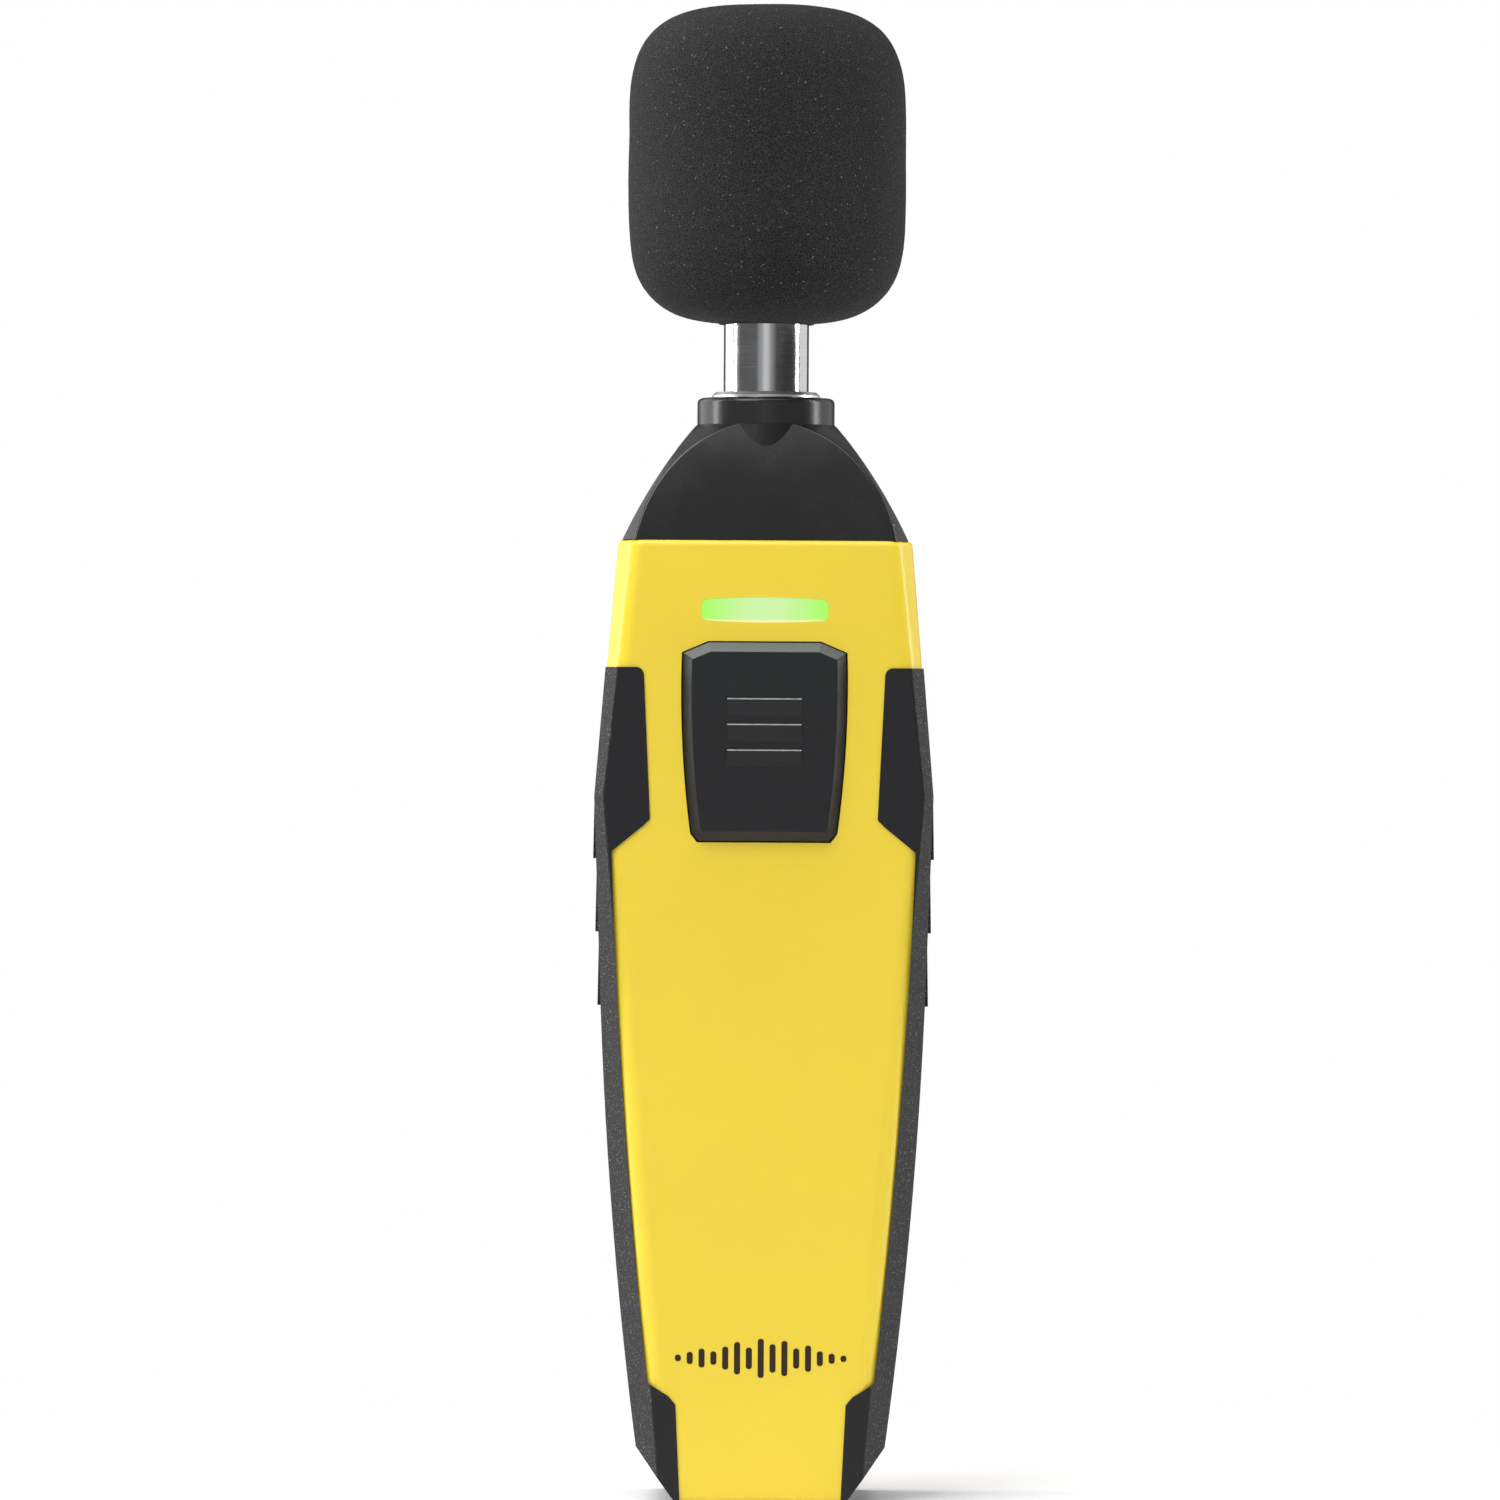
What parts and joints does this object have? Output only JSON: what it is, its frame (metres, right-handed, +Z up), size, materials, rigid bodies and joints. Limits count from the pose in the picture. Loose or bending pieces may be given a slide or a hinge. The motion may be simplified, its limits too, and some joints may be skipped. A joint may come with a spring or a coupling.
{
  "type": "sound level meter",
  "caption": "Slim hand-held wireless sound level meter: tapered two-part case, rubber side grips, power button, light bar, nose cone, microphone tube and pull-off foam windscreen.",
  "frame": {"origin": "middle of the flat base, on the axis of the microphone tube", "axes": "+Z up along the microphone tube, -Y out of the front with the button, +X to the right as the front is faced"},
  "size_m": [0.0506, 0.0418, 0.2228],
  "materials": {
    "case_plastic": "satin",
    "grip_rubber": "matte, finely textured",
    "nose_plastic": "satin gloss",
    "polished_steel": "polished",
    "nickel_brass": "nickel plated",
    "capsule_metal": "satin",
    "sleeve_rubber": "matte",
    "foam": "open-cell foam",
    "button_rubber": "matte",
    "switch_plastic": "matte",
    "socket_plastic": "satin",
    "light_guide": "translucent, lit",
    "led_lens": "clear",
    "board_laminate": "solder mask",
    "tin_plate": "tinned",
    "spring_steel": "nickel plated",
    "chip_epoxy": "matte",
    "capacitor_can": "satin",
    "screw_steel": "blackened",
    "cell_jacket": "gloss film",
    "cushion_foam": "closed-cell foam",
    "label_film": "satin",
    "wire_jacket": "satin"
  },
  "bodies": {
    "housing": {"front_shell": "case_plastic", "rear_shell": "case_plastic", "grip_left": "grip_rubber", "grip_right": "grip_rubber", "nose_cone": "nose_plastic", "microphone_tube": "polished_steel", "tube_flange_ring": "polished_steel", "protection_grid": "polished_steel", "tube_lock_nut": "nickel_brass", "microphone_capsule": "capsule_metal", "capsule_sleeve": "sleeve_rubber", "switch_housing": "switch_plastic", "lead_socket": "socket_plastic", "status_light_guide": "light_guide", "status_leds": "led_lens", "circuit_board": "board_laminate", "radio_module": "board_laminate", "radio_shield": "tin_plate", "battery_contacts": "spring_steel", "battery_springs": "spring_steel", "microcontroller": "chip_epoxy", "amplifier_chip": "chip_epoxy", "board_capacitors": "capacitor_can", "board_screws": "screw_steel", "shell_screws": "screw_steel", "battery_1": "cell_jacket", "battery_2": "cell_jacket", "battery_3": "cell_jacket", "rating_label": "label_film", "capsule_leads": "wire_jacket", "battery_leads": "wire_jacket"},
    "button": {"power_button": "button_rubber"},
    "plunger": {"switch_plunger": "switch_plastic"},
    "windscreen": {"foam_windscreen": "foam"},
    "cover": {"battery_cover": "case_plastic", "cover_cushion": "cushion_foam"},
    "screw": {"cover_screw": "screw_steel"}
  },
  "joints": [
    {"name": "button_press", "type": "slide", "parent": "housing", "child": "button", "axis": [0, 1, 0], "range_m": [0, 0.0005], "stiffness_N_per_m": 1500, "springref_m": -0.0003},
    {"name": "plunger_press", "type": "slide", "parent": "housing", "child": "plunger", "axis": [0, 1, 0], "range_m": [0, 0.0005]},
    {"name": "windscreen_pull", "type": "slide", "parent": "housing", "child": "windscreen", "axis": [0, 0, 1], "range_m": [0, 0.045]},
    {"name": "cover_tilt", "type": "hinge", "parent": "housing", "child": "cover", "pos_m": [0, 0.0155, 0.0925], "axis": [1, 0, 0], "range_deg": [0, 60]},
    {"name": "cover_screw_turn", "type": "hinge", "parent": "cover", "child": "screw", "pos_m": [0, 0.0142, 0.032], "axis": [0, 1, 0], "continuous": true}
  ],
  "couplings": [
    {"joint": "plunger_press", "follows": "button_press", "ratio": 1}
  ]
}
